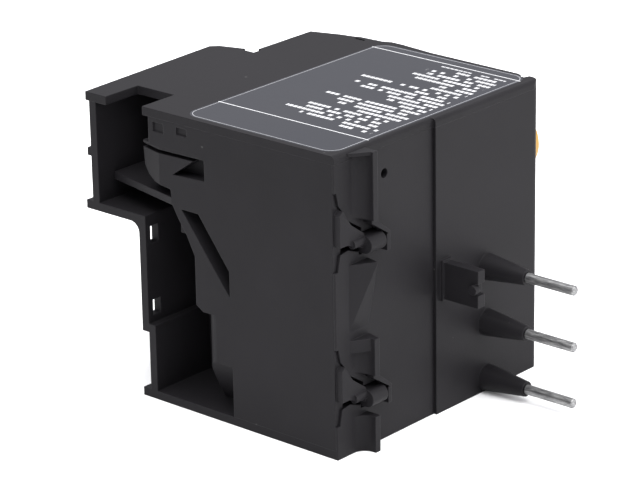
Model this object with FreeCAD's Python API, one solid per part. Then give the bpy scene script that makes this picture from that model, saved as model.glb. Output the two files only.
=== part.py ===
"""Thermal overload relay for a 45 mm wide mini contactor.

The relay lies on its left side wall, as it would on a bench. Every place is given as (h, d, w):
h is measured down from the plug-in face, d forward from the mounting back, w across from the
left wall. In the frame +X is +h, -Y is +d and +Z is +w, so the front panel faces -Y.
"""
import FreeCAD
import Part
import math
import os

os.makedirs("parts", exist_ok=True)
V = FreeCAD.Vector

# ---- overall casing ----
WIDTH = 45.0           # across the poles
DEPTH = 45.3           # mounting back to front panel
SPLIT_D = 21.3         # joint between the rear and the front casing
END_H = 48.5           # lower end of the terminal block
WALL = 1.3             # casing wall
FRONT_WALL = 1.5       # front panel
SHELL_STEP = 0.5       # front casing stands proud of the rear one on the plug-in face
POLE_END_H = 37.5      # outside of the end wall behind the poles
AUX_END_H = 46.7       # outside of the skirt behind the auxiliary terminals
AUX_W = 28.0           # the auxiliary side starts here
LEDGE_D = 30.0         # height of the lower terminal ledge above the back
STEP_H = 41.6          # face of the upper step
BLOCK_D = 14.0         # back of the terminal block
COVER_T = 1.3          # side cover
LABEL_T = 0.1          # rating label, let into the side cover

# ---- fits ----
RUN = 0.05             # radial clearance of a turning or sliding shaft
GAP = 0.3              # clearance between pieces that move past each other
HAIR = 0.02            # clearance of a piece that is pushed in and stays

# ---- poles ----
PITCH = 8.7            # pole pitch, set by the contactor
POLES = 3
FIRST_W = 4.9          # first terminal centre
PIN_OFFSET = 2.8       # each plug-in pin lies this far left of its terminal
PIN_D = 33.0
PIN_R = 0.75
SHANK_R = 0.5          # the pin is thinner inside its sleeve, so its shoulder stops on the sleeve
PIN_REACH = 16.5       # from the plug-in face to the pin's end
SLEEVE_REACH = 7.9
SLEEVE_ROOT_R = 2.1
SLEEVE_TIP_R = 1.15
STRAP_H = 2.2          # where the pin's inner strap lies
STRAP_T = 1.5
BIMETAL_T = 0.8
BIMETAL_D = 14.0
BIMETAL_WIDE = 5.0
BIMETAL_END_H = 31.0
TURNS = 8
TURN_PITCH = 2.2
WIRE = 0.7
FIRST_TURN = 2.0       # from the strap to the first turn
TIP = 0.4              # tapered end of a pin

# ---- terminals ----
SCREW_R = 1.5
HEAD_R = 2.6
HEAD_T = 2.0
CAGE_HALF = 3.0        # half the width of a cage clamp
CAGE_WALL = 0.75
CAGE_LONG = 6.0
WIRE_ROOM = 4.8        # clear height under the bar for a wire
BAR_T = 1.0
BAR_HALF = 2.1
BAR_D = 21.0           # lower terminals: back face of the bar
SCREW_LONG = 3.2       # thread under the head
CAGE_ROOF = 2.4        # threaded roof of a cage, over its bar
EASE = 0.2             # room left round a bar, a cage or a screw head
DRIVER_LONG = 12.0     # well for the screwdriver
BAR_PAST = 2.5         # the bar ends this far past its screw
LOWER_SCREW_H = 45.0
UPPER_SCREW_H = 37.5
TIER_RISE = 16.0       # the upper tier's bars lie this far in front of the lower ones

# ---- controls ----
DIAL_H = 6.3
DIAL_W = 33.8
DIAL_R = 4.8
DIAL_PROUD = 2.6
DIAL_SHAFT_R = 2.0
CAM_R = 2.6
CAM_RISE = 1.6         # over the whole turn of the dial
CAM_TURN = math.radians(270)
CAM_D = 38.0
CAM_T = 2.0
BUTTON_W = 12.0
RESET_H = 9.0
STOP_H = 21.0
BUTTON_R = 3.4
BUTTON_PROUD = 1.4
BUTTON_FOOT_D = 38.0
STEM_R = 1.2
TUBE_D = 31.0          # rear end of a button's guide tube
SPRING_R = 2.1
SPRING_WIRE = 0.25
SPRING_TURNS = 5
SPRING_STEPS = 12      # straight runs in each turn
SELECT_H = 15.0
SELECT_W = 21.5
SELECT_R = 2.4
FLAG_H = 27.0
FLAG_W = 21.5

# ---- trip mechanism ----
SLIDE_H = 28.0
SLIDE_TALL = 3.0
SLIDE_T = 1.0
PHASE_TRAVEL = 1.6
LEVER_H = 18.0
LEVER_W = FIRST_W + 3 * PITCH + 0.2
CONTACT_H = 12.0
CONTACT_W = FIRST_W + 4 * PITCH - 1.7
PIVOT_R = 0.75
HUB_R = 2.0
TOE_W = LEVER_W + 2.2   # the contact lever's toe ends here, beside the trip lever's arm
LEAF_REACH = 4.0       # from the same pivot to the snap spring's post
PLATE_D = 16.8
PLATE_T = 1.2
LEVER_D = 19.0
LEVER_T = 4.0
ADJUST_H = 20.0
INSET = 0.5            # a lever's arms are thinner than its hub by this on each side
CONTACT_END_H = 22.0   # lower end of the contact lever
CONTACT_TALL = 2.6     # moving contact
CONTACT_R = 1.0
CONTACT_HALF = 1.2     # half the moving contact, across
SWING = 1.9            # its travel
BUTTON_T = 0.6         # fixed contact buttons and their blades
FOOT_H0 = 33.0         # the blades end between here
FOOT_H1 = 34.2         # and here

FRONT_D = DEPTH + DIAL_PROUD
H_MID = (END_H - PIN_REACH) / 2
D_MID = FRONT_D / 2
COVER_W = WIDTH - COVER_T
MIDDLES = [FIRST_W + PITCH * n for n in range(5)]


def at(h, d, w):
    """A point of the relay in the frame."""
    return V(h - H_MID, D_MID - d, w)


def block(h0, h1, d0, d1, w0, w1):
    return Part.makeBox(h1 - h0, d1 - d0, w1 - w0, at(h0, d1, w0))


def rod(axis, r, h, d, w, length):
    """A round bar from (h, d, w) along +h, +d or +w."""
    way = {"h": V(1, 0, 0), "d": V(0, -1, 0), "w": V(0, 0, 1)}[axis]
    return Part.makeCylinder(r, length, at(h, d, w), way)


def cone(r0, r1, h, d, w, length):
    """A tapered bar from (h, d, w) towards the contactor."""
    return Part.makeCone(r0, r1, length, at(h, d, w), V(-1, 0, 0))


def across_w(points, w0, w1):
    """Extrudes an outline of (h, d) points from w0 to w1."""
    corners = [at(h, d, w0) for h, d in points]
    return Part.Face(Part.makePolygon(corners + corners[:1])).extrude(V(0, 0, w1 - w0))


def across_d(points, d0, d1):
    """Extrudes an outline of (h, w) points from d0 to d1."""
    corners = [at(h, d0, w) for h, w in points]
    return Part.Face(Part.makePolygon(corners + corners[:1])).extrude(V(0, d0 - d1, 0))


def across_h(points, h0, h1):
    """Extrudes an outline of (d, w) points from h0 to h1."""
    corners = [at(h0, d, w) for d, w in points]
    return Part.Face(Part.makePolygon(corners + corners[:1])).extrude(V(h1 - h0, 0, 0))


def join(shape, *others):
    return shape.fuse(list(others)).removeSplitter()


def save(name, *solids):
    shape = solids[0] if len(solids) == 1 else Part.makeCompound(list(solids))
    shape.exportStep("parts/" + name + ".step")


# ---- outline of the casing seen from the side ----
REAR_TOP = 0.0
FRONT_TOP = -SHELL_STEP
FRONT_ROUND = 1.2      # rounding between the plug-in face and the front panel
EDGE_ROUND = 0.6
SLOPE_H = 30.0         # the front panel starts to slope here
SLOPE_MID = (37.0, DEPTH - 0.9)
SLOPE_END_D = DEPTH - 2.4
LEDGE = [(43.5, LEDGE_D - 0.1), (47.4, LEDGE_D - 1.3), (END_H, LEDGE_D - 2.4)]
BACK_H = 47.4          # terminal end at the back
COVER_OUTLINE = [(REAR_TOP, 0), (REAR_TOP, SPLIT_D), (FRONT_TOP, SPLIT_D),
                 (FRONT_TOP, DEPTH - FRONT_ROUND), (FRONT_TOP + 0.35, DEPTH - 0.35),
                 (FRONT_TOP + FRONT_ROUND, DEPTH), (1.4, DEPTH), (1.7, DEPTH - 0.9),
                 (2.3, DEPTH - 0.9), (2.7, DEPTH - 0.3), (3.6, DEPTH), (20.0, DEPTH + 0.2),
                 (26.0, DEPTH + 0.8), (28.2, DEPTH + 0.8), (29.6, DEPTH + 0.2), (33.6, DEPTH),
                 (34.6, DEPTH - 0.4), SLOPE_MID, (STEP_H, SLOPE_END_D), (STEP_H, LEDGE_D)] + LEDGE + [
                 (BACK_H, 0)]
BLOCK_TOP = [(POLE_END_H - WALL, LEDGE_D)] + LEDGE


# ---- terminals: cage clamp, bar and screw ----
def cage(screw_h, bar_d, w):
    """A rising cage: the bar runs through it and the wire goes under the bar."""
    half_long = CAGE_LONG / 2
    floor_d = bar_d - WIRE_ROOM
    top_d = bar_d + BAR_T + EASE
    outer = block(screw_h - half_long, screw_h + half_long, floor_d - 1.0, top_d + CAGE_ROOF,
                  w - CAGE_HALF, w + CAGE_HALF)
    inner = block(screw_h - half_long - 1, screw_h + half_long + 1, floor_d, top_d,
                  w - CAGE_HALF + CAGE_WALL, w + CAGE_HALF - CAGE_WALL)
    thread = rod("d", SCREW_R + HAIR, screw_h, top_d - 1, w, 5)
    return outer.cut([inner, thread])


def screw(screw_h, bar_d, w):
    """A clamp screw with a slotted head, its tip on the bar."""
    tip_d = bar_d + BAR_T
    head_d = tip_d + SCREW_LONG
    solid = join(rod("d", SCREW_R, screw_h, tip_d, w, SCREW_LONG + 0.5),
                 rod("d", HEAD_R, screw_h, head_d, w, HEAD_T))
    slot = block(screw_h - HEAD_R - 1, screw_h + HEAD_R + 1, head_d + HEAD_T - 0.9, head_d + HEAD_T + 1,
                 w - 0.4, w + 0.4)
    return solid.cut(slot)


def chamber(screw_h, bar_d, w, mouth_h):
    """The hollow for one clamp: its room, its wire mouth and the way in for the screwdriver."""
    room = block(screw_h - CAGE_LONG / 2 - GAP, mouth_h + 1, bar_d - WIRE_ROOM - 1.0 - EASE,
                 bar_d + BAR_T + CAGE_ROOF + 2 * EASE, w - CAGE_HALF - EASE, w + CAGE_HALF + EASE)
    driver = rod("d", HEAD_R + EASE, screw_h, bar_d, w, DRIVER_LONG)
    slit = block(screw_h - 12, screw_h, bar_d - EASE, bar_d + BAR_T + EASE, w - BAR_HALF - EASE,
                 w + BAR_HALF + EASE)
    return room.fuse([driver, slit])


save("load_clamps", *[cage(LOWER_SCREW_H, BAR_D, w) for w in MIDDLES[:POLES]])
save("load_screws", *[screw(LOWER_SCREW_H, BAR_D, w) for w in MIDDLES[:POLES]])
AUX_PLACES = [(h, BAR_D + rise, w) for h, rise in ((LOWER_SCREW_H, 0), (UPPER_SCREW_H, TIER_RISE))
              for w in MIDDLES[POLES:]]
save("aux_clamps", *[cage(*place) for place in AUX_PLACES])
save("aux_screws", *[screw(*place) for place in AUX_PLACES])

block_body = across_w([(POLE_END_H - WALL, BLOCK_D)] + BLOCK_TOP + [(BACK_H, BLOCK_D)], 0, COVER_W)
terminal_block = block_body.cut([chamber(LOWER_SCREW_H, BAR_D, w, END_H) for w in MIDDLES])
save("terminal_block", terminal_block)

# ---- poles: plug-in pin, bimetal, heater and load bar ----
SEAT_H = STRAP_H + STRAP_T
for number, w in enumerate(MIDDLES[:POLES], start=1):
    pin_w = w - PIN_OFFSET
    pin = rod("h", PIN_R, TIP - PIN_REACH, PIN_D, pin_w, PIN_REACH - TIP - SLEEVE_REACH)
    shank = rod("h", SHANK_R, -SLEEVE_REACH, PIN_D, pin_w, SLEEVE_REACH + SEAT_H)
    nose = cone(PIN_R, PIN_R - 0.3, TIP - PIN_REACH, PIN_D, pin_w, TIP)
    strap = block(STRAP_H, SEAT_H, BIMETAL_D - 0.5, PIN_D + 1, pin_w - SHANK_R, w + 1.6)
    save(f"main_pin_{number}", join(pin, nose, shank, strap))

    half = BIMETAL_T / 2
    strip = block(SEAT_H, BIMETAL_END_H, BIMETAL_D, BIMETAL_D + BIMETAL_WIDE, w - half, w + half)
    save(f"bimetal_{number}", strip)

    ring_w = half + GAP + WIRE
    ring_d0 = BIMETAL_D - GAP - WIRE
    ring_d1 = BIMETAL_D + BIMETAL_WIDE + GAP + WIRE
    pieces = []
    for turn in range(TURNS):
        ring_h = SEAT_H + FIRST_TURN + TURN_PITCH * turn
        ring = block(ring_h, ring_h + WIRE, ring_d0, ring_d1, w - ring_w, w + ring_w)
        ring = ring.cut(block(ring_h - 1, ring_h + 2, ring_d0 + WIRE, ring_d1 - WIRE,
                              w - ring_w + WIRE, w + ring_w - WIRE))
        pieces.append(ring)
        side = -1 if turn % 2 else 1
        link_w = w + side * (ring_w - WIRE / 2)
        link_top = ring_h + TURN_PITCH + WIRE if turn < TURNS - 1 else ring_h + WIRE
        pieces.append(block(ring_h, link_top, ring_d1 - WIRE, ring_d1, link_w - WIRE / 2,
                            link_w + WIRE / 2))
    last_h = SEAT_H + FIRST_TURN + TURN_PITCH * (TURNS - 1)
    pieces.append(block(SEAT_H, SEAT_H + FIRST_TURN + WIRE, ring_d1 - WIRE, ring_d1, w - 1, w + 1))
    pieces.append(block(last_h, last_h + WIRE, ring_d1 - WIRE, BAR_D, w - 1, w + 1))
    pieces.append(block(last_h, last_h + 8, BAR_D - 0.4, BAR_D, w - 1, w + 1))
    save(f"heater_{number}", pieces[0].fuse(pieces[1:]))

    bar = block(last_h + 5, LOWER_SCREW_H + BAR_PAST, BAR_D, BAR_D + BAR_T, w - BAR_HALF, w + BAR_HALF)
    save(f"load_bar_{number}", bar)

# ---- rear base: mounting face with its pockets, and the two snap hooks ----
BASE_T = 1.6
INSIDE_H = POLE_END_H - WALL
FACE_H = 34.9          # free edge of the mounting face beside the auxiliary cavity
POCKET_H = 19.7        # free edge beside the lower pocket
RIM_H = 0.4            # joint line between the base and the plug-in wall
DEEP_D = 11.2          # floor of the lower pocket
CAVITY_D = 12.8        # floor of the auxiliary cavity
JOG_W = 11.6           # the end wall steps in below this
JOG_H = 36.2
FACE = [(RIM_H, WALL), (POCKET_H, WALL), (POCKET_H, 16.2), (25.2, 16.2), (26.5, 17.0),
        (26.5, 24.4), (28.0, 27.3), (29.5, 29.4), (30.6, 31.3), (30.9, 33.6), (34.3, 34.0),
        (35.8, 34.7), (36.8, 35.8), (37.1, 38.6), (37.1, 39.5), (FACE_H, 39.5), (FACE_H, COVER_W),
        (RIM_H, COVER_W)]
ARROW = [(38.0, 39.1), (24.2, 39.3), (24.2, 36.2), (30.4, 35.9), (26.4, 38.7), (38.0, 38.5)]
SLANT = [(28.9, 31.0), (25.6, 31.0), (19.9, 23.6), (19.9, 19.6)]
MARKS = [[(32.0, 41.7), (34.0, 41.7), (34.0, 43.1), (32.0, 43.1)],
         [(27.4, 42.1), (29.4, 42.1), (29.4, 43.2), (27.4, 43.2)]]
RECESSES = ((ARROW, 2.2), (SLANT, 3.4))
base = across_d(FACE, 0, BASE_T)
for points, deep in RECESSES:
    hs = [p[0] for p in points]
    ws = [p[1] for p in points]
    cup = block(min(hs) - 1, max(hs) + 1, 0, deep + 1.2, min(ws) - 1, max(ws) + 1)
    base = base.fuse(cup.common(across_d(FACE, 0, deep + 1.2)))

# lower pocket: the face rounds off and falls to the floor, and in the corner it slopes away as well
FALL = [(22.6, 0.0), (23.6, 0.2), (24.4, 0.75), (25.0, 1.7), (25.5, 3.2), (26.2, 5.7), (27.2, 8.3),
        (28.4, 10.2), (30.0, 11.1), (31.5, DEEP_D)]
FLANK_W = 16.4
CORNER_W = 9.0
CORNER_D = 5.0
UNDER_D = DEEP_D + 1.2
FLOOR_END_H = INSIDE_H - GAP
curve = Part.BSplineCurve()
curve.interpolate([at(h, d, WALL) for h, d in FALL])
rest = Part.makePolygon([at(h, d, WALL) for h, d in (FALL[-1], (FLOOR_END_H, DEEP_D), (FLOOR_END_H, UNDER_D),
                                                     (POCKET_H, UNDER_D), (POCKET_H, 0), FALL[0])])
falling = Part.Face(Part.Wire([curve.toShape()] + rest.Edges)).extrude(V(0, 0, FLANK_W - WALL))
scoop = across_h([(CORNER_D, WALL), (0, CORNER_W), (0, FLANK_W), (UNDER_D, FLANK_W), (UNDER_D, WALL)],
                 POCKET_H, INSIDE_H)
falling = falling.common(scoop)
hollow = falling.copy()
hollow.translate(V(-1.0, -1.4, 0))
falling = falling.cut(hollow)
corner_wall = block(POCKET_H - 1.2, POCKET_H + 0.1, 0.5, CORNER_D + 1.6, WALL, CORNER_W - 1)
deep_floor = across_w([(25.2, 0.8), (26.5, 0.8), (29.0, DEEP_D), (FLOOR_END_H, DEEP_D),
                       (FLOOR_END_H, UNDER_D), (28.0, UNDER_D), (25.2, 2.4)], FLANK_W - 0.1, 27.0)
cavity_floor = block(29.0, INSIDE_H - GAP, CAVITY_D, BLOCK_D, 27.0, COVER_W)
cavity_side = block(29.0, 30.2, 1.0, BLOCK_D, 32.0, COVER_W)
rail = across_w([(30.0, 0), (30.8, 0), (AUX_END_H - WALL - GAP, 3.0), (AUX_END_H - WALL - GAP, BLOCK_D),
                 (30.0, BLOCK_D)], 31.3, 32.4)
pocket_side = across_w([(28.0, 1.0), (30.0, 1.0), (30.6, BLOCK_D), (28.0, BLOCK_D)], 27.0, 31.5)
base = join(base, falling, deep_floor, corner_wall, cavity_floor, cavity_side, rail, pocket_side)
base = base.cut([across_d(points, -1, deep) for points, deep in RECESSES])
base = base.cut([across_d(points, -1, 0.25) for points in MARKS])
base = base.cut(across_w([(33.0, -1), (33.0, 0), (37.3, 1.2), (37.3, -1)], 33.0, 39.5))
base = base.cut(block(JOG_H - WALL - GAP, POLE_END_H, -1, BLOCK_D + 1, 0, JOG_W + GAP))

HOOKS = [10.0, 33.0]   # middle heights of the two hooks, set by the contactor
HOOK_OUT = 2.4
TONGUE = [(0.3, 3.4), (1.0, 4.0), (2.6, 1.6), (5.4, -0.4), (5.4, -2.6), (3.0, -1.6), (1.8, -1.2),
          (0.3, -1.2)]
HEAD_D = 5.2
HEAD_END_D = 8.4
for w in HOOKS:
    arm = across_h([(d, w + dw) for d, dw in TONGUE], -0.7, 1.1)
    root = block(RIM_H, 1.1, 0, BASE_T, w - 1.2, w + 3.2)
    head = rod("d", 1.3, -0.9, HEAD_D, w - 2.0, HEAD_END_D - HEAD_D)
    chin = block(-0.9, 0.8, HEAD_D, HEAD_END_D, w - 3.3, w - 0.7)
    peg = rod("d", 0.7, -0.5, 2.9, w - 1.4, HEAD_D - 2.9 + 0.3)
    base = join(base, arm, root, head, chin, peg)
save("rear_base", base)

# ---- main housing: the walls of the rear half ----
RIB_D0 = 5.4
RIB_D1 = 6.4
COVE_R = 1.9
PLUG_WALL = 1.5
plug_wall = block(0, PLUG_WALL, 0, SPLIT_D, 0, COVER_W)
rib = block(-HOOK_OUT, PLUG_WALL, RIB_D0, RIB_D1, 0, WIDTH - 0.3)
rib = rib.cut(block(-0.01, 3, 0, SPLIT_D, COVER_W, WIDTH + 1))
cove = block(-COVE_R, 0.1, RIB_D0 - COVE_R, RIB_D0 + 0.1, 0, WIDTH - 0.3)
cove = cove.cut(rod("w", COVE_R, -COVE_R, RIB_D0 - COVE_R, -1, WIDTH + 2))
cove = cove.cut(block(-0.01, 3, 0, SPLIT_D, COVER_W, WIDTH + 1))
top_cap = across_w([(-0.01, 2.75), (-HOOK_OUT, RIB_D1 - 0.4), (-HOOK_OUT, RIB_D1), (-0.01, RIB_D1)],
                   WIDTH - 0.8, WIDTH - 0.3)
bottom_wall = block(0, INSIDE_H, 0, SPLIT_D, 0, WALL)
bottom_lip = block(INSIDE_H, POLE_END_H + 0.2, 0, BLOCK_D, 0, WALL)
end_low = block(JOG_H - WALL, JOG_H, 0, BLOCK_D, 0, JOG_W)
end_high = block(INSIDE_H, POLE_END_H, 0, BLOCK_D, JOG_W - WALL, AUX_W)
jog = block(JOG_H - WALL, POLE_END_H, 0, BLOCK_D, JOG_W - WALL, JOG_W)
shelf = block(INSIDE_H, END_H - 0.5, 0, BLOCK_D, AUX_W - 1.0, AUX_W + 0.3)
SHELF_CORNER = 1.6     # rounding in the corner under the shelf
corner = block(POLE_END_H - 0.1, POLE_END_H + SHELF_CORNER, 0, BLOCK_D, AUX_W - 1.0 - SHELF_CORNER,
               AUX_W - 0.9)
corner = corner.cut(rod("d", SHELF_CORNER, POLE_END_H + SHELF_CORNER, -1, AUX_W - 1.0 - SHELF_CORNER,
                        DEPTH))
skirt = block(AUX_END_H - WALL, AUX_END_H, 0, BLOCK_D, AUX_W, COVER_W)
nub = block(AUX_END_H - 0.1, AUX_END_H + 0.7, 0, 3, 35.3, 36.5)
housing = join(plug_wall, rib, cove, top_cap, bottom_wall, bottom_lip, end_low, end_high, jog, shelf,
               corner, skirt, nub)
housing = housing.cut(block(RIM_H - HAIR, FACE_H, -1, BASE_T, WALL, COVER_W + 1))
for window_w0, window_w1 in ((12.7, 15.1), (23.8, 26.5)):
    housing = housing.cut(block(INSIDE_H - 1, POLE_END_H + 1, 1.0, 2.6, window_w0, window_w1))
TAB_D0 = 9.2
TAB_D1 = 9.9
for w in HOOKS:
    keep_out = across_h([(-1, w + 4.6), (0.9, w + 4.6), (2.9, w + 2.4), (6.6, w + 1.4), (12.0, w + 0.6),
                         (12.0, w - 3.9), (6.6, w - 4.5), (2.6, w - 4.6), (2.0, w - 2.4),
                         (-1, w - 3.4)], -5, 0.0)
    opening = across_h([(-1, w + 6.6), (0.45, w + 6.6), (0.9, w + 4.6), (2.9, w + 1.9), (5.6, w + 0.2),
                        (5.6, w - 3.0), (4.6, w - 3.0), (2.7, w - 2.3), (1.1, w - 2.6), (0.6, w - 5.0),
                        (-1, w - 5.0)], -5, PLUG_WALL + 0.1)
    head_room = block(-5, 1.1, HEAD_D - 0.2, HEAD_END_D + 0.4, w - 3.6, w - 0.4)
    housing = housing.cut([keep_out, opening, head_room])
    tab = block(-1.6, 0.5, TAB_D0, TAB_D1, w - 3.8, w - 1.4)
    ridge = across_h([(RIB_D1 - 0.4, w + 1.8), (RIB_D1, w + 1.8), (TAB_D1, w - 1.0), (TAB_D1, w - 1.8),
                      (TAB_D0, w - 1.1), (RIB_D1 - 0.4, w + 1.0)], -1.6, 0.5)
    housing = join(housing, tab, ridge)

# between the hooks the wall is flush, with a wedge that leads each hook's mating bar in
flush_w0 = HOOKS[0] + 7.2
flush_w1 = HOOKS[1] - 4.55
housing = housing.cut(block(-5, 0, 0, RIB_D1 + 1, flush_w0 - 0.01, flush_w1 + 0.5))
low_wedge = across_w([(0.2, 2.75), (0, 2.75), (-2.3, RIB_D1), (0, RIB_D1 + 0.5), (0.2, RIB_D1 + 0.5)],
                     flush_w0 - 1.85, flush_w0)
tip = at(-2.3, RIB_D1, flush_w1)
lead = [at(0, 2.75, flush_w1), tip, at(0, RIB_D1 + 0.5, flush_w1)]
fade = [at(0, 2.75, flush_w0 + 1.3), at(0, RIB_D1 + 0.5, flush_w0 + 1.3)]
faces = [[lead[0], tip, lead[2]], [lead[0], tip, fade[0]], [tip, fade[1], fade[0]],
         [tip, lead[2], fade[1]], [lead[0], lead[2], fade[1], fade[0]]]
high_wedge = Part.makeSolid(Part.makeShell([Part.Face(Part.makePolygon(f + f[:1])) for f in faces]))
housing = join(housing, low_wedge, high_wedge)
housing = housing.cut(rod("h", 0.7, -1, 10.6, 39.8, 4))
save("main_housing", housing)

# ---- side cover with its label ----
cover = across_w(COVER_OUTLINE, COVER_W, WIDTH)
for edge_h, d0, d1 in ((REAR_TOP, 0, SPLIT_D), (FRONT_TOP, SPLIT_D, DEPTH)):
    corner = block(edge_h - 0.1, edge_h + EDGE_ROUND, d0, d1, WIDTH - EDGE_ROUND, WIDTH + 0.1)
    cover = cover.cut(corner.cut(rod("d", EDGE_ROUND, edge_h + EDGE_ROUND, d0, WIDTH - EDGE_ROUND, d1)))
rear_notch = block(36.0, 43.3, -1, 6.7, COVER_W - 1, WIDTH + 1)
LABEL = (0.9, 29.0, 1.0, 44.7)
label_box = block(LABEL[0], LABEL[1], LABEL[2], LABEL[3], WIDTH - LABEL_T, WIDTH)
round_edges = [e for e in label_box.Edges if abs(e.Vertexes[0].Z - e.Vertexes[-1].Z) > LABEL_T / 2]
label = label_box.makeFillet(2.5, round_edges)
step_slot = block(STEP_H - 0.6, 43.3, LEDGE_D - 0.7, LEDGE_D + 1, COVER_W - 1, WIDTH + 1)
edge_slot = block(31.9, 33.8, DEPTH - 1.3, DEPTH - 0.8, COVER_W + 0.5, WIDTH + 1)
cover = cover.cut([rear_notch, label, step_slot, edge_slot])
save("side_cover", cover)
save("rating_label", label)

# ---- front casing ----
front = across_w([(FRONT_TOP, SPLIT_D), (FRONT_TOP, DEPTH), (SLOPE_H, DEPTH), SLOPE_MID,
                  (STEP_H, SLOPE_END_D), (STEP_H, LEDGE_D), (INSIDE_H, LEDGE_D), (INSIDE_H, SPLIT_D)],
                 0, COVER_W)
corner_edges = [e for e in front.Edges if abs(e.Vertexes[0].X - at(FRONT_TOP, 0, 0).x) < 0.01
                and abs(e.Vertexes[-1].X - at(FRONT_TOP, 0, 0).x) < 0.01
                and max(v.Y for v in e.Vertexes) < at(0, DEPTH, 0).y + 0.01]
front = front.makeFillet(FRONT_ROUND, corner_edges)
hollow = across_w([(FRONT_TOP + FRONT_WALL, SPLIT_D - 1), (FRONT_TOP + FRONT_WALL, DEPTH - FRONT_WALL),
                   (SLOPE_H, DEPTH - FRONT_WALL), (STEP_H - WALL, SLOPE_END_D - FRONT_WALL),
                   (STEP_H - WALL, LEDGE_D + 1.2), (INSIDE_H - WALL, LEDGE_D + 1.2),
                   (INSIDE_H - WALL, SPLIT_D - 1)], WALL, COVER_W + 1)
front = front.cut(hollow)
aux_nest = block(33.0, STEP_H - 0.1, LEDGE_D + 0.1, DEPTH - FRONT_WALL - 0.5, AUX_W - 1.0, COVER_W)
front = join(front, aux_nest)
front = front.cut([chamber(h, d, w, STEP_H) for h, d, w in AUX_PLACES[2:]])
bar_slits = [block(30.0, POLE_END_H, BAR_D - EASE, BAR_D + BAR_T + EASE, w - BAR_HALF - EASE,
                   w + BAR_HALF + EASE) for w in MIDDLES]
front = front.cut(bar_slits)
for w in MIDDLES[:POLES]:
    pin_w = w - PIN_OFFSET
    root_h = FRONT_TOP + 0.5
    sleeve = cone(SLEEVE_ROOT_R, SLEEVE_TIP_R, root_h, PIN_D, pin_w, SLEEVE_REACH + root_h)
    foot = rod("h", SLEEVE_ROOT_R, root_h, PIN_D, pin_w, FRONT_WALL - 0.5)
    bore = rod("h", SHANK_R + HAIR, -PIN_REACH, PIN_D, pin_w, PIN_REACH + 5)
    front = join(front, sleeve, foot).cut(bore)
LUG_W = 20.5
LUG_H = -7.15
lug = block(LUG_H, FRONT_TOP + 0.2, 22.5, 24.0, LUG_W - 2.8, LUG_W + 2.8)
lug = lug.cut(block(LUG_H - 1, LUG_H + 0.5, 22.0, 25.0, LUG_W - 0.9, LUG_W + 0.9))
lug_knob = rod("d", 0.7, LUG_H + 0.6, 21.9, LUG_W, 1.0)
lug_foot = block(-1.0, FRONT_TOP + 0.2, 22.2, 24.3, LUG_W - 3.1, LUG_W + 3.1)
front = join(front, lug, lug_knob, lug_foot)
BUTTONS = {"reset": RESET_H, "stop": STOP_H}
for h in BUTTONS.values():
    tube = rod("d", BUTTON_R + 1.2, h, TUBE_D, BUTTON_W, DEPTH - TUBE_D - 0.5)
    well = rod("d", BUTTON_R + RUN, h, TUBE_D + 1.0, BUTTON_W, DEPTH)
    stem_hole = rod("d", STEM_R + RUN, h, TUBE_D - 1, BUTTON_W, 4)
    front = join(front, tube).cut([well, stem_hole])
front = front.cut(rod("d", DIAL_SHAFT_R + RUN, DIAL_H, DEPTH - 5, DIAL_W, 10))
front = front.cut(rod("d", SELECT_R + RUN, SELECT_H, DEPTH - 5, SELECT_W, 10))
front = front.cut(block(FLAG_H - 1.5, FLAG_H + 1.5, DEPTH - 3, DEPTH + 1, FLAG_W - 2, FLAG_W + 2))
for side in (-1, 1):
    rail_w = FLAG_W + side * (2.6 + GAP + 0.5)
    front = join(front, block(FLAG_H - 4.5, FLAG_H + 4.5, DEPTH - FRONT_WALL - 2.0,
                              DEPTH - FRONT_WALL + 0.2, rail_w - 0.5, rail_w + 0.5))
adjust_boss = rod("d", PIVOT_R, ADJUST_H, CAM_D - 1, DIAL_W, DEPTH - FRONT_WALL - CAM_D + 1.2)
front = join(front, adjust_boss)
save("front_housing", front)

# ---- setting dial with its spiral cam ----
knob = join(rod("d", DIAL_R, DIAL_H, DEPTH + GAP, DIAL_W, DIAL_PROUD - GAP),
            rod("d", DIAL_SHAFT_R, DIAL_H, CAM_D, DIAL_W, DEPTH + 1 - CAM_D))
driver_slot = block(DIAL_H - DIAL_R + 0.8, DIAL_H + DIAL_R - 0.8, FRONT_D - 1.2, FRONT_D + 1,
                    DIAL_W - 0.6, DIAL_W + 0.6)
knob = knob.cut(driver_slot)
save("setting_dial", knob)
steps = 24
spiral = []
for step in range(steps + 1):
    turned = CAM_TURN * step / steps
    r = CAM_R + CAM_RISE * step / steps
    spiral.append((DIAL_H - r * math.sin(turned), DIAL_W + r * math.cos(turned)))
cam = across_d(spiral, CAM_D, CAM_D + CAM_T)
cam = cam.cut(rod("d", DIAL_SHAFT_R + HAIR, DIAL_H, CAM_D - 1, DIAL_W, CAM_T + 2))
save("dial_cam", cam)

# ---- adjusting lever, swung by the cam ----
arm_w = DIAL_W + CAM_R + GAP
arm = across_d([(DIAL_H - 2, arm_w), (ADJUST_H, DIAL_W - 1.5), (ADJUST_H + 4, DIAL_W - 1.2),
                (ADJUST_H + 4, DIAL_W + 1.2), (ADJUST_H, arm_w + 1.4), (DIAL_H - 2, arm_w + 1.4)],
               CAM_D, CAM_D + CAM_T)
arm = arm.cut(across_d([(DIAL_H - 9, arm_w - 9), (DIAL_H + 6, arm_w - 9), (DIAL_H + 6, arm_w),
                        (DIAL_H - 9, arm_w)], CAM_D - 1, CAM_D + CAM_T + 1))
hub = rod("d", HUB_R, ADJUST_H, CAM_D, DIAL_W, CAM_T)
adjust = join(arm, hub).cut(rod("d", PIVOT_R + RUN, ADJUST_H, CAM_D - 3, DIAL_W, 9))
save("adjusting_lever", adjust)

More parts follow.
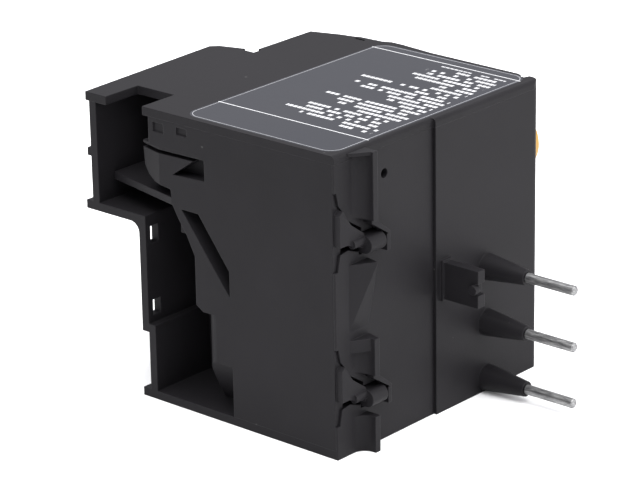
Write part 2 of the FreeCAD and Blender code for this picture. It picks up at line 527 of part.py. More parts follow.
# ---- push buttons with their springs ----
for name, h in BUTTONS.items():
    cap = rod("d", BUTTON_R, h, BUTTON_FOOT_D, BUTTON_W, DEPTH + BUTTON_PROUD - BUTTON_FOOT_D)
    rim = cap.Edges[0] if cap.Edges[0].Vertexes[0].Y < cap.Edges[-1].Vertexes[0].Y else cap.Edges[-1]
    cap = cap.makeChamfer(0.4, [rim])
    stem = rod("d", STEM_R, h, TUBE_D - 2.0, BUTTON_W, BUTTON_FOOT_D - TUBE_D + 2.5)
    save(name + "_button", join(cap, stem))
    length = BUTTON_FOOT_D - TUBE_D - 1.0
    points = []
    for step in range(SPRING_TURNS * SPRING_STEPS + 1):
        angle = 2 * math.pi * step / SPRING_STEPS
        rise = length * 0.04 + length * 0.92 * step / (SPRING_TURNS * SPRING_STEPS)
        points.append(at(h + SPRING_R * math.cos(angle), TUBE_D + 1.0 + rise,
                         BUTTON_W + SPRING_R * math.sin(angle)))
    way = (points[1] - points[0]).normalize()
    out = V(1, 0, 0)
    side = way.cross(out)
    corners = [points[0] + out * (SPRING_WIRE * math.cos(math.pi / 3 * k))
               + side * (SPRING_WIRE * math.sin(math.pi / 3 * k)) for k in range(6)]
    section = Part.makePolygon(corners + corners[:1])
    save(name + "_spring", Part.makePolygon(points).makePipeShell([section], True, False, 1))

# ---- manual or automatic selector ----
selector = join(rod("d", SELECT_R, SELECT_H, DEPTH - FRONT_WALL - GAP, SELECT_W, FRONT_WALL + GAP + 0.5),
                rod("d", SELECT_R + 0.8, SELECT_H, DEPTH - FRONT_WALL - GAP - 0.8, SELECT_W, 0.8))
selector = selector.cut(block(SELECT_H - SELECT_R + 0.5, SELECT_H + SELECT_R - 0.5, DEPTH - 0.5,
                              DEPTH + 2, SELECT_W - 0.4, SELECT_W + 0.4))
save("mode_selector", selector)

# ---- trip flag behind its window ----
flag_d = DEPTH - FRONT_WALL - GAP
save("trip_flag", block(FLAG_H - 3.5, FLAG_H + 2.0, flag_d - 1.2, flag_d, FLAG_W - 2.6, FLAG_W + 2.6))

# ---- inner frame: shelf for the slides, and the plate that carries the levers ----
SHELF_H = SLIDE_H + SLIDE_TALL + GAP
shelf_plate = block(SHELF_H, SHELF_H + 1.3, BLOCK_D + 0.1, SPLIT_D - 0.5, WALL, COVER_W)
shelf_plate = shelf_plate.cut(block(SHELF_H - 1, SHELF_H + 3, LEVER_D + GAP, SPLIT_D, AUX_W, COVER_W))
lever_plate = block(4.0, SHELF_H + 0.2, PLATE_D, PLATE_D + PLATE_T, LEVER_W - 2.2, COVER_W)
spring_post = block(7.4, 9.4, PLATE_D, LEVER_D + 3, CONTACT_W + LEAF_REACH + HAIR, COVER_W - HAIR)
frame = join(shelf_plate, lever_plate, spring_post)
for w in MIDDLES[:POLES]:
    frame = frame.cut(block(SHELF_H - 1, SHELF_H + 3, 19.4, SPLIT_D, w - 1.3, w + 1.3))
PIVOTS = {"lever": (LEVER_H, LEVER_W), "contact": (CONTACT_H, CONTACT_W)}
for name, (h, w) in PIVOTS.items():
    frame = frame.cut(rod("d", PIVOT_R + HAIR, h, PLATE_D - 1, w, PLATE_T + 2))
    save(name + "_pivot", rod("d", PIVOT_R, h, PLATE_D, w, LEVER_D + LEVER_T + 1 - PLATE_D))
save("inner_frame", frame)

# ---- the two slides moved by the bimetals ----
slide_d = BIMETAL_D + BIMETAL_WIDE + GAP
slide_end = LEVER_W - 1.6 - GAP
bar = block(SLIDE_H, SLIDE_H + SLIDE_TALL, slide_d, slide_d + SLIDE_T, WALL + GAP, slide_end)
parts = [bar, block(SLIDE_H, SLIDE_H + SLIDE_TALL, slide_d, slide_d + 2.5, slide_end - 1, slide_end)]
for w in MIDDLES[:POLES]:
    parts.append(block(SLIDE_H, SLIDE_H + SLIDE_TALL, BIMETAL_D + 0.5, slide_d,
                       w + BIMETAL_T / 2 + GAP, w + BIMETAL_T / 2 + GAP + 1))
save("trip_slide", join(*parts))
phase_d = BIMETAL_D - GAP - SLIDE_T
phase_end = AUX_W - 1.0 - GAP - PHASE_TRAVEL
parts = [block(SLIDE_H, SLIDE_H + SLIDE_TALL, phase_d, phase_d + SLIDE_T, WALL + GAP, phase_end)]
for w in MIDDLES[:POLES]:
    finger_w = w - BIMETAL_T / 2 - GAP - PHASE_TRAVEL
    parts.append(block(SLIDE_H, SLIDE_H + SLIDE_TALL, phase_d + SLIDE_T, BIMETAL_D + 4.5,
                       finger_w - 0.9, finger_w - 0.1))
save("phase_loss_slide", join(*parts))

# ---- trip lever with its compensating bimetal ----
lever_hub = rod("d", HUB_R, LEVER_H, LEVER_D, LEVER_W, LEVER_T)
lever_arm = block(LEVER_H - 9.0, LEVER_H, LEVER_D + INSET, LEVER_D + LEVER_T - INSET, LEVER_W + 0.4,
                  LEVER_W + 1.6)
lever = join(lever_hub, lever_arm, block(LEVER_H, LEVER_H + 4, LEVER_D + INSET, LEVER_D + LEVER_T - INSET,
                                         LEVER_W - 0.8, LEVER_W + 0.6))
lever = lever.cut(rod("d", PIVOT_R + RUN, LEVER_H, LEVER_D - 1, LEVER_W, LEVER_T + 2))
save("trip_lever", lever)
strip = block(LEVER_H + 2.2, SLIDE_H + 2.4, LEVER_D + INSET, LEVER_D + LEVER_T - INSET,
              LEVER_W - 1.6, LEVER_W - 0.8)
save("compensating_bimetal", strip)

# ---- contact lever, moving contact and the fixed contacts ----
contact_hub = rod("d", HUB_R, CONTACT_H, LEVER_D, CONTACT_W, LEVER_T)
toe = block(CONTACT_H - 0.6, CONTACT_H + 0.6, LEVER_D + INSET, LEVER_D + LEVER_T - INSET, TOE_W,
            CONTACT_W)
tail = block(CONTACT_H, CONTACT_END_H, LEVER_D + INSET, LEVER_D + LEVER_T - INSET, CONTACT_W - 0.6,
             CONTACT_W + 0.6)
contact_lever = join(contact_hub, toe, tail)
contact_lever = contact_lever.cut(rod("d", PIVOT_R + RUN, CONTACT_H, LEVER_D - 1, CONTACT_W, LEVER_T + 2))
save("contact_lever", contact_lever)
contact_mid_h = CONTACT_END_H + CONTACT_TALL / 2
bridge = join(block(CONTACT_END_H, CONTACT_END_H + CONTACT_TALL, LEVER_D, LEVER_D + LEVER_T,
                    CONTACT_W - 0.5, CONTACT_W + 0.5),
              rod("w", CONTACT_R, contact_mid_h, LEVER_D + LEVER_T / 2, CONTACT_W - CONTACT_HALF,
                  2 * CONTACT_HALF))
save("moving_contact", bridge)
CONTACT_SIDES = {"nc_contact": (-1, CONTACT_W - CONTACT_HALF - GAP, MIDDLES[3] + BAR_HALF),
                 "no_contact": (1, CONTACT_W + CONTACT_HALF + SWING + GAP, MIDDLES[4] + BAR_HALF)}
for name, (side, face_w, bar_w) in CONTACT_SIDES.items():
    back_w = face_w + side * BUTTON_T
    far_w = back_w + side * BUTTON_T
    button = rod("w", CONTACT_R, contact_mid_h, LEVER_D + LEVER_T / 2, min(face_w, far_w), 2 * BUTTON_T)
    blade = block(CONTACT_END_H - 1, FOOT_H1, LEVER_D + 0.6, LEVER_D + LEVER_T - 0.6,
                  min(back_w, far_w), max(back_w, far_w))
    foot = block(FOOT_H0, FOOT_H1, LEVER_D + 0.6, LEVER_D + LEVER_T - 0.6, bar_w,
                 max(back_w, far_w, bar_w + 0.3))
    solids = [button, blade] if side > 0 else [button, blade, foot]
    save(name, join(*solids))

# ---- auxiliary terminal bars ----
for number, (screw_h, bar_d, w) in enumerate(AUX_PLACES, start=1):
    inner_h = 26.0 if bar_d > BAR_D else 32.9
    bar = block(inner_h, screw_h + BAR_PAST, bar_d, bar_d + BAR_T, w - BAR_HALF, w + BAR_HALF)
    if bar_d > BAR_D:
        bar = join(bar, block(inner_h, inner_h + 1, LEVER_D + LEVER_T + 1, bar_d, w - 1.2, w + 1.2))
    save(f"aux_bar_{number}", bar)

# ---- leaf spring that snaps the contact lever over ----
tip_w = TOE_W + 0.2
post_w = CONTACT_W + LEAF_REACH
leaf = across_d([(9.2, post_w), (4.0, post_w - 1.4), (3.5, tip_w + 0.9), (CONTACT_H - 0.9, tip_w),
                 (CONTACT_H - 0.9, tip_w + 0.7), (4.2, tip_w + 1.5), (4.65, post_w - 1.9),
                 (9.4, post_w - 0.6)], LEVER_D + 1, LEVER_D + 3)
save("snap_spring", leaf)
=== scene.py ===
import bmesh
import bpy
import math
from mathutils import Matrix, Vector


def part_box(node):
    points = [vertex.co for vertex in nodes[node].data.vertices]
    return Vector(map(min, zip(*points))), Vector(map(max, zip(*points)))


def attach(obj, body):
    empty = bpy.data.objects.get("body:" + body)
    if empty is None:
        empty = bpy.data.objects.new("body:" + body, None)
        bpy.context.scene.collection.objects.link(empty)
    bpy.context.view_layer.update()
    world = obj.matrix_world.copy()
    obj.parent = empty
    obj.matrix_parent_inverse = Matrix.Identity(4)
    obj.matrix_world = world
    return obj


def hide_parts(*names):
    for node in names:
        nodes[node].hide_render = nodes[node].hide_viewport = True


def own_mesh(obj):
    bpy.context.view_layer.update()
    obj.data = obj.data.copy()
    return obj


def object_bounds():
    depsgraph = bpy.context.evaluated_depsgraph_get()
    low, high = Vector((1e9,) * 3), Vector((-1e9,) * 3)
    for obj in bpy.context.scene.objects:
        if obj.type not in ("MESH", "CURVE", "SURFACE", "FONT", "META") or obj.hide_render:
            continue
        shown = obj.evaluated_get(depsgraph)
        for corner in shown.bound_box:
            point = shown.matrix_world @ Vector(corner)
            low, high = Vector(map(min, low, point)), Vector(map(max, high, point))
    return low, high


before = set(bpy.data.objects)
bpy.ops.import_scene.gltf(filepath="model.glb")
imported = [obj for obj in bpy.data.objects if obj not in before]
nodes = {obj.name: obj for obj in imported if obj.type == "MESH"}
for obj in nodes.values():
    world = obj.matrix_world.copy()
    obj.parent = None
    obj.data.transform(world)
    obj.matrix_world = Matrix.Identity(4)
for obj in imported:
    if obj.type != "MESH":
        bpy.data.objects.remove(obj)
cad_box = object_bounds()
low, high = Vector(cad_box[0]), Vector(cad_box[1])
MM = 0.001

# ---- the bench, the light and the view ----
# A flat, pale, matt bench top, lit by two large soft lamps from above and from the side and by a sky
# that is brighter overhead than at the horizon. Behind the relay it shows plain white.
bench_material = bpy.data.materials.new("bench_paper")
bench_material.use_nodes = True
bench_shader = bench_material.node_tree.nodes["Principled BSDF"]
bench_shader.inputs["Base Color"].default_value = (0.82, 0.82, 0.82, 1)
bench_shader.inputs["Roughness"].default_value = 0.9
bench_reach = 1.6  # metres from the middle to each side
bench_mesh = bpy.data.meshes.new("bench")
bench_mesh.from_pydata([(-bench_reach, -bench_reach, 0), (bench_reach, -bench_reach, 0),
                        (bench_reach, bench_reach, 0), (-bench_reach, bench_reach, 0)], [], [(0, 1, 2, 3)])
bench_mesh.materials.append(bench_material)
bench = bpy.data.objects.new("bench", bench_mesh)
bpy.context.scene.collection.objects.link(bench)

world = bpy.data.worlds.new("studio")
world.use_nodes = True
sky = world.node_tree
ambient = sky.nodes["Background"]
where = sky.nodes.new("ShaderNodeTexCoord")
split = sky.nodes.new("ShaderNodeSeparateXYZ")
sky.links.new(where.outputs["Generated"], split.inputs[0])
level = sky.nodes.new("ShaderNodeMapRange")
level.interpolation_type = "SMOOTHSTEP"
for socket, amount in (("From Min", -0.1), ("From Max", 0.6), ("To Min", 0.42), ("To Max", 1.25)):
    level.inputs[socket].default_value = amount
sky.links.new(split.outputs["Z"], level.inputs["Value"])
sky.links.new(level.outputs["Result"], ambient.inputs["Strength"])
ambient.inputs["Color"].default_value = (0.96, 0.96, 1.0, 1)
backdrop = sky.nodes.new("ShaderNodeBackground")
backdrop.inputs["Color"].default_value = (1, 1, 1, 1)
seen = sky.nodes.new("ShaderNodeLightPath")
either = sky.nodes.new("ShaderNodeMixShader")
sky.links.new(seen.outputs["Is Camera Ray"], either.inputs[0])
sky.links.new(ambient.outputs[0], either.inputs[1])
sky.links.new(backdrop.outputs[0], either.inputs[2])
sky.links.new(either.outputs[0], sky.nodes["World Output"].inputs["Surface"])
bpy.context.scene.world = world
LAMPS = {"overhead": ((-0.1, 0.1, 0.75), 0.8, 13.0), "pin_side": ((-0.75, -0.35, 0.3), 0.6, 5.0)}
for name, (place, width, power) in LAMPS.items():
    lamp_data = bpy.data.lights.new(name, "AREA")
    lamp_data.size = width
    lamp_data.energy = power
    lamp = bpy.data.objects.new(name, lamp_data)
    lamp.location = place
    lamp.rotation_euler = (Vector((0, 0, 0.02)) - Vector(place)).to_track_quat("-Z", "Y").to_euler()
    bpy.context.scene.collection.objects.link(lamp)
bpy.context.scene.view_settings.view_transform = "Standard"

camera_data = bpy.data.cameras.new("view")
camera_data.lens = 179.0
camera_data.sensor_width = 36.0
camera = bpy.data.objects.new("view", camera_data)
camera.location = (-0.2835, 0.33125, 0.1841)
camera.rotation_euler = (math.radians(69.657), math.radians(0.9134), math.radians(-139.016))
bpy.context.scene.collection.objects.link(camera)
bpy.context.scene.camera = camera


# ---- moulded casing ----
# The casing is glass-filled black thermoplastic, moulded in steel tools with a fine spark-eroded
# texture. Its edges are a little rounded and rubbed, and their colour is lightened, partly as wear and
# partly as a painted highlight where they catch the light; it picks up dust and faint scuffs.
class Value:
    """A number that changes over a surface. Sums and products of it add Math nodes."""

    def __init__(self, finish, socket):
        self.finish, self.socket = finish, socket

    def math(self, operation, first, second):
        return self.finish.node("ShaderNodeMath", {"operation": operation}, {0: first, 1: second})

    def __add__(self, other):
        return self.math("ADD", self, other)

    __radd__ = __add__

    def __sub__(self, other):
        return self.math("SUBTRACT", self, other)

    def __rsub__(self, other):
        return self.math("SUBTRACT", other, self)

    def __mul__(self, other):
        return self.math("MULTIPLY", self, other)

    __rmul__ = __mul__

    def __gt__(self, other):
        return self.math("GREATER_THAN", self, other)

    def __lt__(self, other):
        return self.math("LESS_THAN", self, other)


class Finish:
    """A material under way. Numbers that don't change over the surface go straight to the shader."""

    def __init__(self, name, **constants):
        self.material = bpy.data.materials.new(name)
        self.material.use_nodes = True
        self.tree = self.material.node_tree
        self.shader = self.tree.nodes["Principled BSDF"]
        for socket, value in constants.items():
            self.feed(socket.replace("_", " "), value)

    def node(self, kind, settings, values, output=0):
        made = self.tree.nodes.new(kind)
        for name, value in settings.items():
            setattr(made, name, value)
        for name, value in values.items():
            if isinstance(value, Value):
                self.tree.links.new(value.socket, made.inputs[name])
            else:
                made.inputs[name].default_value = value
        return Value(self, made.outputs[output])

    def feed(self, name, value):
        if isinstance(value, Value):
            self.tree.links.new(value.socket, self.shader.inputs[name])
        else:
            self.shader.inputs[name].default_value = value

    def math_one(self, operation, value):
        return self.node("ShaderNodeMath", {"operation": operation}, {0: value})

    def math_two(self, operation, first, second):
        return self.node("ShaderNodeMath", {"operation": operation}, {0: first, 1: second})

    def place(self):
        return self.node("ShaderNodeTexCoord", {}, {}, "Object")

    def noise(self, scale, detail=2.0, roughness=0.5, at=None):
        return self.node("ShaderNodeTexNoise", {}, {"Vector": at or self.place(), "Scale": scale,
                                                    "Detail": detail, "Roughness": roughness})

    def between(self, low_value, high_value, value):
        return self.node("ShaderNodeMapRange", {}, {"Value": value, "From Min": low_value,
                                                    "From Max": high_value})

    def blend(self, factor, first, second):
        return self.node("ShaderNodeMix", {"data_type": "RGBA"}, {0: factor, 6: first, 7: second}, 2)

    def edge(self, radius):
        """How near a sharp edge is: 0 on a flat, rising towards 1 on the edge itself."""
        rounded = self.node("ShaderNodeBevel", {"samples": 6}, {"Radius": radius})
        flat = self.node("ShaderNodeNewGeometry", {}, {}, "Normal")
        along = self.node("ShaderNodeVectorMath", {"operation": "DOT_PRODUCT"}, {0: rounded, 1: flat}, 1)
        return self.between(0.0, 0.25, 1 - along)

    def bump(self, height, distance, strength, radius=None):
        values = {"Height": height, "Distance": distance, "Strength": strength}
        if radius:
            values["Normal"] = self.node("ShaderNodeBevel", {"samples": 6}, {"Radius": radius})
        self.feed("Normal", self.node("ShaderNodeBump", {}, values))


def tone(*channels):
    return (*channels, 1)


def dress(finish, *names):
    for name in names:
        nodes[name].data.materials.clear()
        nodes[name].data.materials.append(finish.material)


def moulded(name, shade, rough, edge_wear_and_highlight=0.3, specular=0.25):
    """A plastic with a faint clouding, fine grain, edges painted lighter as rubbed wear and as a painted
    highlight, and a little dust.
    """
    plastic = Finish(name, IOR=1.5)
    plastic.feed("Specular IOR Level", specular)
    cloud = plastic.noise(60, 4, 0.55)
    fine = plastic.noise(2600, 3, 0.6)
    colour = plastic.blend(plastic.between(0.3, 0.7, cloud), tone(*[c * 0.84 for c in shade]),
                           tone(*[c * 1.18 for c in shade]))
    speck = plastic.node("ShaderNodeTexVoronoi", {}, {"Vector": plastic.place(), "Scale": 520.0})
    dust = (speck < 0.1) * (plastic.noise(210, 1) > 0.69)
    colour = plastic.blend(dust * 0.12, colour, tone(0.3, 0.3, 0.29))
    # Edges painted lighter: partly rubbed wear, partly a painted highlight where the edges catch the
    # light.
    rubbed_edge_and_highlight = plastic.edge(0.0002)
    colour = plastic.blend(rubbed_edge_and_highlight * edge_wear_and_highlight, colour, tone(*[c * 2.2 + 0.012 for c in shade]))
    plastic.feed("Base Color", colour)
    plastic.feed("Roughness", rough + (cloud - 0.5) * 0.16 - rubbed_edge_and_highlight * 0.06)
    plastic.bump(fine, 0.00002, 0.6, 0.00018)
    return plastic


casing_plastic = moulded("casing_plastic", (0.0098, 0.0092, 0.0104), 0.5, specular=0.082)
dress(casing_plastic, "front_housing", "main_housing", "rear_base", "terminal_block", "side_cover")

# ---- label ----
# A thin dark film stuck into its recess in the side cover, printed in white. The print here is bare:
# a hairline border, two rules and rows of plain unlettered dashes.
label_low, label_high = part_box("rating_label")
film = Finish("label_film", IOR=1.5)
film.feed("Specular IOR Level", 0.24)
spot = film.place()
apart = film.node("ShaderNodeSeparateXYZ", {}, {0: spot}, "X")
across = Value(film, apart.socket.node.outputs["Y"])
from_top = (apart - label_low.x) * (1 / MM)
from_back = (label_high.y - across) * (1 / MM)
LABEL_TALL = (label_high.x - label_low.x) / MM
LABEL_WIDE = (label_high.y - label_low.y) / MM
CORNER_R = 2.5
BORDER = (0.32, 0.43)       # inset of the hairline's two edges, in mm
RULE_BACK = (7.38, 7.56)    # from the label's back edge
RULE_FRONT = (2.28, 2.1)    # from its front edge
ROW_PITCH = 1.32
ROWS_FROM = 9.3             # from the back edge to the first row
ROWS_STOP = 3.4             # from the front edge to the last row
ROW_INSET = 1.6             # from the top edge to where the rows start
ROW_SHORTEST = 7.5
ROW_VARIES = 13.0
ROW_INK = (0.2, 0.74)       # share of the pitch that is inked
DASH_LONG = 0.82
DASH_GAP = 0.16             # share of a dash that is left blank
BLANK_SHARE = 0.27          # share of the dashes that is left out
STAGGER = 0.37              # how far each row is shifted against the one before
rows = (from_back - ROWS_FROM) * (1 / ROW_PITCH)
row = film.math_one("FLOOR", rows)
in_row = film.math_one("FRACT", rows)
chance = film.node("ShaderNodeTexWhiteNoise", {"noise_dimensions": "1D"}, {"W": row + 3.5})
reach = chance * ROW_VARIES + ROW_SHORTEST
steps_along = from_top * (1 / DASH_LONG) + row * STAGGER
column = film.math_one("FLOOR", steps_along)
in_dash = film.math_one("FRACT", steps_along)
filled = film.node("ShaderNodeTexWhiteNoise", {"noise_dimensions": "2D"},
                   {"Vector": film.node("ShaderNodeCombineXYZ", {}, {0: column, 1: row + 0.5})}, "Value")
dash = (in_row > ROW_INK[0]) * (in_row < ROW_INK[1]) * (filled > BLANK_SHARE) * (in_dash > DASH_GAP)
dash = dash * (from_top < reach) * (from_top > ROW_INSET)
dash = dash * (rows > 0.0) * (from_back < LABEL_WIDE - ROWS_STOP)
rule_back = (from_back > RULE_BACK[0]) * (from_back < RULE_BACK[1])
rule_front = (from_back > LABEL_WIDE - RULE_FRONT[0]) * (from_back < LABEL_WIDE - RULE_FRONT[1])
marks = dash * 0.6 + rule_back * 0.8 + rule_front * 0.8
printed = film.node("ShaderNodeClamp", {}, {"Value": marks})
corner_x = film.math_one("ABSOLUTE", from_top - LABEL_TALL / 2) - (LABEL_TALL / 2 - CORNER_R)
corner_y = film.math_one("ABSOLUTE", from_back - LABEL_WIDE / 2) - (LABEL_WIDE / 2 - CORNER_R)
past_x = film.math_two("MAXIMUM", corner_x, 0.0)
past_y = film.math_two("MAXIMUM", corner_y, 0.0)
nearer = film.math_two("MINIMUM", film.math_two("MAXIMUM", corner_x, corner_y), 0.0)
inward = CORNER_R - film.math_one("SQRT", past_x * past_x + past_y * past_y) - nearer
border = (inward > BORDER[0]) * (inward < BORDER[1])
cloud = film.noise(45, 3)
ground = film.blend(cloud, tone(0.008, 0.0085, 0.0125), tone(0.0135, 0.0145, 0.02))
ground = film.blend(border * 0.6, ground, tone(0.42, 0.42, 0.44))
film.feed("Base Color", film.blend(printed, ground, tone(0.66, 0.66, 0.67)))
film.feed("Roughness", 0.36 + (cloud - 0.5) * 0.12)
film.bump(film.noise(900, 2), 0.00002, 0.25, 0.0001)
dress(film, "rating_label")


# ---- plug-in pins ----
# Drawn brass bars plated with nickel, cut to length and chamfered, pushed through the moulded sleeves.
# Inside the casing each is riveted to a flat strap that carries its bimetal.
PIN_END = 16.5   # the pins reach this far past the plug-in face


def at(h, d, w):
    """A point of the relay: h down from the plug-in face, d forward from the back, w up."""
    return Vector((low.x + (h + PIN_END) * MM, high.y - d * MM, w * MM))


PIN_R = 0.75
SHANK_R = 0.5
PIN_D = 33.0
PIN_W = (2.1, 10.8, 19.5)
CHAMFER = 0.16
PIN_PROFILE = [(0.0, 0.03), (0.42, 0.03), (0.45, 0.0), (PIN_R - CHAMFER, 0.0), (PIN_R, CHAMFER),
               (PIN_R, 0.4), (PIN_R, 2.5), (PIN_R, 5.5), (PIN_R, 8.5), (SHANK_R, 8.62), (SHANK_R, 18.7)]
STRAP_H = (2.2, 3.7)
STRAP_D = (34.0, 13.5)
STRAP_W = (-0.5, 4.4)   # past the pin's middle
STRAP_BEVEL = 0.15
THINNEST_R = 0.0005     # keeps the middle of a turned end from closing to a point


def lathe(name, profile, start, way, material, sides=48):
    """A turned piece: profile is (radius, distance along way), in mm, closed at both ends."""
    mesh = bmesh.new()
    way = Vector(way).normalized()
    out = way.orthogonal().normalized()
    up = way.cross(out)
    rings = []
    for radius, along in profile:
        ring = []
        for step in range(sides):
            angle = 2 * math.pi * step / sides
            side = out * math.cos(angle) + up * math.sin(angle)
            ring.append(mesh.verts.new(start + way * along * MM + side * max(radius, THINNEST_R) * MM))
        rings.append(ring)
    for first, second in zip(rings, rings[1:]):
        for step in range(sides):
            after = (step + 1) % sides
            mesh.faces.new((first[step], first[after], second[after], second[step]))
    mesh.faces.new(list(reversed(rings[0])))
    mesh.faces.new(rings[-1])
    bmesh.ops.recalc_face_normals(mesh, faces=mesh.faces)
    return finished(name, mesh, material, math.radians(28))


def finished(name, mesh, material, smooth_angle):
    """Turns a bmesh into an object with its material, smooth but for edges over the angle."""
    data = bpy.data.meshes.new(name)
    mesh.to_mesh(data)
    mesh.free()
    data.materials.append(material.material)
    made = bpy.data.objects.new(name, data)
    bpy.context.scene.collection.objects.link(made)
    data.shade_smooth()
    data.set_sharp_from_angle(angle=smooth_angle)
    return made


pin_metal = Finish("pin_metal", Metallic=1.0)
grain = pin_metal.node("ShaderNodeMapping", {}, {"Vector": pin_metal.place(), "Scale": (0.12, 1.0, 1.0)})
drawn = pin_metal.noise(5200, 4, 0.6, grain)
pits = pin_metal.noise(3800, 3, 0.65)
pin_metal.feed("Base Color", pin_metal.blend(pin_metal.between(0.35, 0.7, drawn), tone(0.13, 0.13, 0.135),
                                             tone(0.38, 0.38, 0.375)))
pin_metal.feed("Roughness", 0.34 + pits * 0.22)
pin_metal.bump(drawn + pits * 0.8, 0.00003, 0.6)
for number, pin_w in enumerate(PIN_W, start=1):
    bar = lathe(f"pin_bar_{number}", PIN_PROFILE, at(-PIN_END, PIN_D, pin_w), (1, 0, 0), pin_metal)
    strap_low = at(STRAP_H[0], STRAP_D[0], pin_w + STRAP_W[0])
    strap_high = at(STRAP_H[1], STRAP_D[1], pin_w + STRAP_W[1])
    strap = bmesh.new()
    bmesh.ops.create_cube(strap, size=1)
    middle, size = (strap_low + strap_high) / 2, strap_high - strap_low
    for vertex in strap.verts:
        vertex.co = Vector([middle[k] + vertex.co[k] * abs(size[k]) for k in range(3)])
    bmesh.ops.bevel(strap, geom=strap.edges[:], offset=STRAP_BEVEL * MM, segments=2, affect="EDGES")
    plate = finished(f"pin_strap_{number}", strap, pin_metal, math.radians(40))
    for piece in (bar, plate):
        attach(piece, "casing")
    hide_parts(f"main_pin_{number}")

# ---- setting dial ----
# A yellow moulded knob with a driver slot. Round it the casing carries a plain scale, ticks and the
# numbers 1 to 5, made as a thin raised print that stays with the casing.
dial_plastic = moulded("dial_plastic", (0.36, 0.2, 0.03), 0.38, 0.15, 0.4)
dress(dial_plastic, "setting_dial")
DEPTH = 45.3
DIAL_H = 6.3
DIAL_W = 33.8
TICKS = 19
TICK_R = (5.05, 5.35)
LONG_TICK_END_R = 5.55
TICK_HALF = 0.07
NUMBERS = 5
NUMBER_R = 6.5
NUMBER_SIZE = 1.7
SWEEP = math.radians(270)
PRINT_T = 0.03
PRINT_SUNK = 0.01
ink = Finish("white_ink", IOR=1.5)
worn = ink.noise(420, 3)
ink.feed("Base Color", ink.blend(ink.between(0.5, 0.75, worn), tone(0.7, 0.7, 0.69),
                                 tone(0.34, 0.34, 0.34)))
ink.feed("Roughness", 0.5 + worn * 0.1)
ink.bump(ink.noise(1500, 2), 0.00001, 0.4)
ticks = bmesh.new()
for tick in range(TICKS):
    angle = -SWEEP / 2 + SWEEP * tick / (TICKS - 1) + math.pi
    end_r = LONG_TICK_END_R if tick % 3 == 0 else TICK_R[1]
    along = Vector((math.cos(angle), math.sin(angle)))
    over = Vector((-along.y, along.x)) * TICK_HALF
    start, end = along * TICK_R[0], along * end_r
    corners = [start - over, end - over, end + over, start + over]
    faces = [[ticks.verts.new(at(DIAL_H - c.x, DEPTH + lift, DIAL_W + c.y)) for c in corners]
             for lift in (-PRINT_SUNK, PRINT_T)]
    ticks.faces.new(faces[1])
    ticks.faces.new(list(reversed(faces[0])))
    for k in range(4):
        ticks.faces.new((faces[0][k], faces[0][(k + 1) % 4], faces[1][(k + 1) % 4], faces[1][k]))
bmesh.ops.recalc_face_normals(ticks, faces=ticks.faces)
scale_print = finished("dial_scale", ticks, ink, math.radians(30))
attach(scale_print, "casing")
for number in range(1, NUMBERS + 1):
    angle = -SWEEP / 2 + SWEEP * (number - 1) / (NUMBERS - 1) + math.pi
    place = at(DIAL_H - NUMBER_R * math.cos(angle), DEPTH, DIAL_W + NUMBER_R * math.sin(angle))
    letters = bpy.data.curves.new(f"dial_number_{number}", "FONT")
    letters.body = str(number)
    letters.size = NUMBER_SIZE * MM
    letters.extrude = PRINT_T * MM
    letters.align_x = "CENTER"
    letters.align_y = "CENTER"
    shape = bpy.data.objects.new("numeral_source", letters)
    turned = Matrix(((0, -1, 0, place.x), (0, 0, -1, place.y), (1, 0, 0, place.z), (0, 0, 0, 1)))
    figure = bmesh.new()
    figure.from_mesh(bpy.data.meshes.new_from_object(shape))
    bmesh.ops.transform(figure, matrix=turned, verts=figure.verts)
    numeral = finished(f"dial_number_{number}", figure, ink, math.radians(30))
    bpy.data.objects.remove(shape)
    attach(numeral, "casing")

# ---- push buttons, selector and flag ----
# Small satin mouldings: blue for reset, red for stop, a blue slotted selector and a green flag behind
# its window. Their shapes are the fixed ones; the selector shares the reset button's plastic, and the
# others each get their own.
dress(moulded("reset_plastic", (0.015, 0.06, 0.24), 0.32, 0.2, 0.4), "reset_button", "mode_selector")
dress(moulded("stop_plastic", (0.3, 0.012, 0.01), 0.32, 0.2, 0.4), "stop_button")
dress(moulded("flag_plastic", (0.03, 0.2, 0.05), 0.4, 0.2, 0.4), "trip_flag")


# ---- terminal metal ----
# Zinc-plated steel screws and cages, and tinned copper bars, all with a fine rolled or turned grain.
def worked(name, dark, light, rough, stretch, scale=2400.0):
    """A metal with a grain that runs along the small number in stretch."""
    metal = Finish(name, Metallic=1.0)
    along = metal.node("ShaderNodeMapping", {}, {"Vector": metal.place(), "Scale": stretch})
    lines = metal.noise(scale, 4, 0.6, along)
    stain = metal.noise(220, 3, 0.6)
    colour = metal.blend(metal.between(0.35, 0.7, lines), tone(*dark), tone(*light))
    colour = metal.blend(metal.between(0.55, 0.8, stain) * 0.35, colour, tone(*[c * 0.5 for c in dark]))
    metal.feed("Base Color", colour)
    metal.feed("Roughness", rough + lines * 0.15)
    metal.bump(lines, 0.00002, 0.5, 0.0001)
    return metal


screw_steel = worked("screw_steel", (0.3, 0.3, 0.31), (0.46, 0.46, 0.47), 0.3, (1, 1, 1), 900.0)
dress(screw_steel, "load_screws", "aux_screws")
cage_steel = worked("cage_steel", (0.22, 0.22, 0.23), (0.38, 0.38, 0.39), 0.36, (0.1, 1, 1))
dress(cage_steel, "load_clamps", "aux_clamps")
dress(worked("bar_copper", (0.5, 0.3, 0.17), (0.75, 0.5, 0.34), 0.34, (0.1, 1, 1)),
      *[f"load_bar_{k}" for k in (1, 2, 3)], *[f"aux_bar_{k}" for k in (1, 2, 3, 4)])

# ---- poles ----
# Bimetal strips of rolled nickel steel, each inside a heater of oxidised resistance ribbon.
dress(worked("bimetal_strip", (0.34, 0.32, 0.28), (0.55, 0.53, 0.48), 0.36, (0.1, 1, 1)),
      "bimetal_1", "bimetal_2", "bimetal_3", "compensating_bimetal")
dress(worked("heater_ribbon", (0.12, 0.1, 0.09), (0.3, 0.26, 0.22), 0.5, (1, 1, 1)),
      "heater_1", "heater_2", "heater_3")
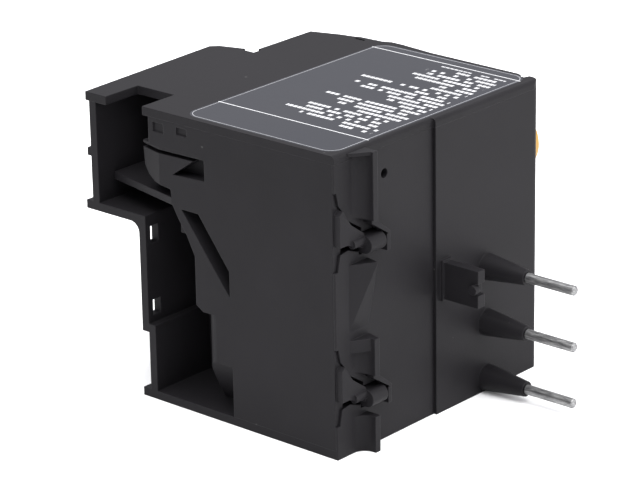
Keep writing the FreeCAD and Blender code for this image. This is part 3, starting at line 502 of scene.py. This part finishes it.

# ---- trip mechanism ----
# Natural nylon slides and levers on steel pivots, a grey moulded frame, silver-faced contacts and
# bright spring steel. The two button springs are wound wire.
dress(moulded("slide_nylon", (0.62, 0.58, 0.48), 0.45, 0.1, 0.5),
      "trip_slide", "phase_loss_slide", "dial_cam")
dress(moulded("lever_nylon", (0.42, 0.3, 0.16), 0.45, 0.1, 0.5),
      "trip_lever", "contact_lever", "adjusting_lever")
dress(moulded("frame_plastic", (0.09, 0.085, 0.08), 0.5), "inner_frame")
dress(worked("contact_silver", (0.55, 0.54, 0.5), (0.8, 0.79, 0.76), 0.3, (1, 1, 0.1)),
      "moving_contact", "nc_contact", "no_contact")
spring_steel = worked("spring_steel", (0.35, 0.35, 0.37), (0.6, 0.6, 0.62), 0.25, (1, 0.1, 1))
dress(spring_steel, "snap_spring", "lever_pivot", "contact_pivot")
RESET_H = 9.0
STOP_H = 21.0
BUTTON_W = 12.0
SPRING_FOOT_D = 32.24
SPRING_HEAD_D = 37.76
SPRING_R = 2.1
SPRING_WIRE = 0.25
COILS = 5
STEPS_A_COIL = 36
CLOSED_ENDS = 0.3   # how much the coils close up towards both ends
for name, button_h in (("reset", RESET_H), ("stop", STOP_H)):
    path = bpy.data.curves.new(name + "_coil", "CURVE")
    path.dimensions = "3D"
    path.bevel_depth = SPRING_WIRE * MM
    path.bevel_resolution = 3
    path.use_fill_caps = True
    coil = path.splines.new("POLY")
    steps = COILS * STEPS_A_COIL
    coil.points.add(steps)
    for step in range(steps + 1):
        angle = 2 * math.pi * step / STEPS_A_COIL
        eased = 0.5 - 0.5 * math.cos(math.pi * step / steps)
        share = (1 - CLOSED_ENDS) * step / steps + CLOSED_ENDS * eased
        spring_d = SPRING_FOOT_D + (SPRING_HEAD_D - SPRING_FOOT_D) * share
        spot = at(button_h + SPRING_R * math.cos(angle), spring_d,
                  BUTTON_W + SPRING_R * math.sin(angle))
        coil.points[step].co = (*spot, 1)
    shape = bpy.data.objects.new("coil_source", path)
    wire = bmesh.new()
    wire.from_mesh(bpy.data.meshes.new_from_object(shape))
    bpy.data.objects.remove(shape)
    spring = finished(name + "_coil", wire, spring_steel, math.radians(50))
    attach(spring, "casing")
    tuple(at(button_h, SPRING_FOOT_D, BUTTON_W))
    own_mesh(spring)
    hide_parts(name + "_spring")
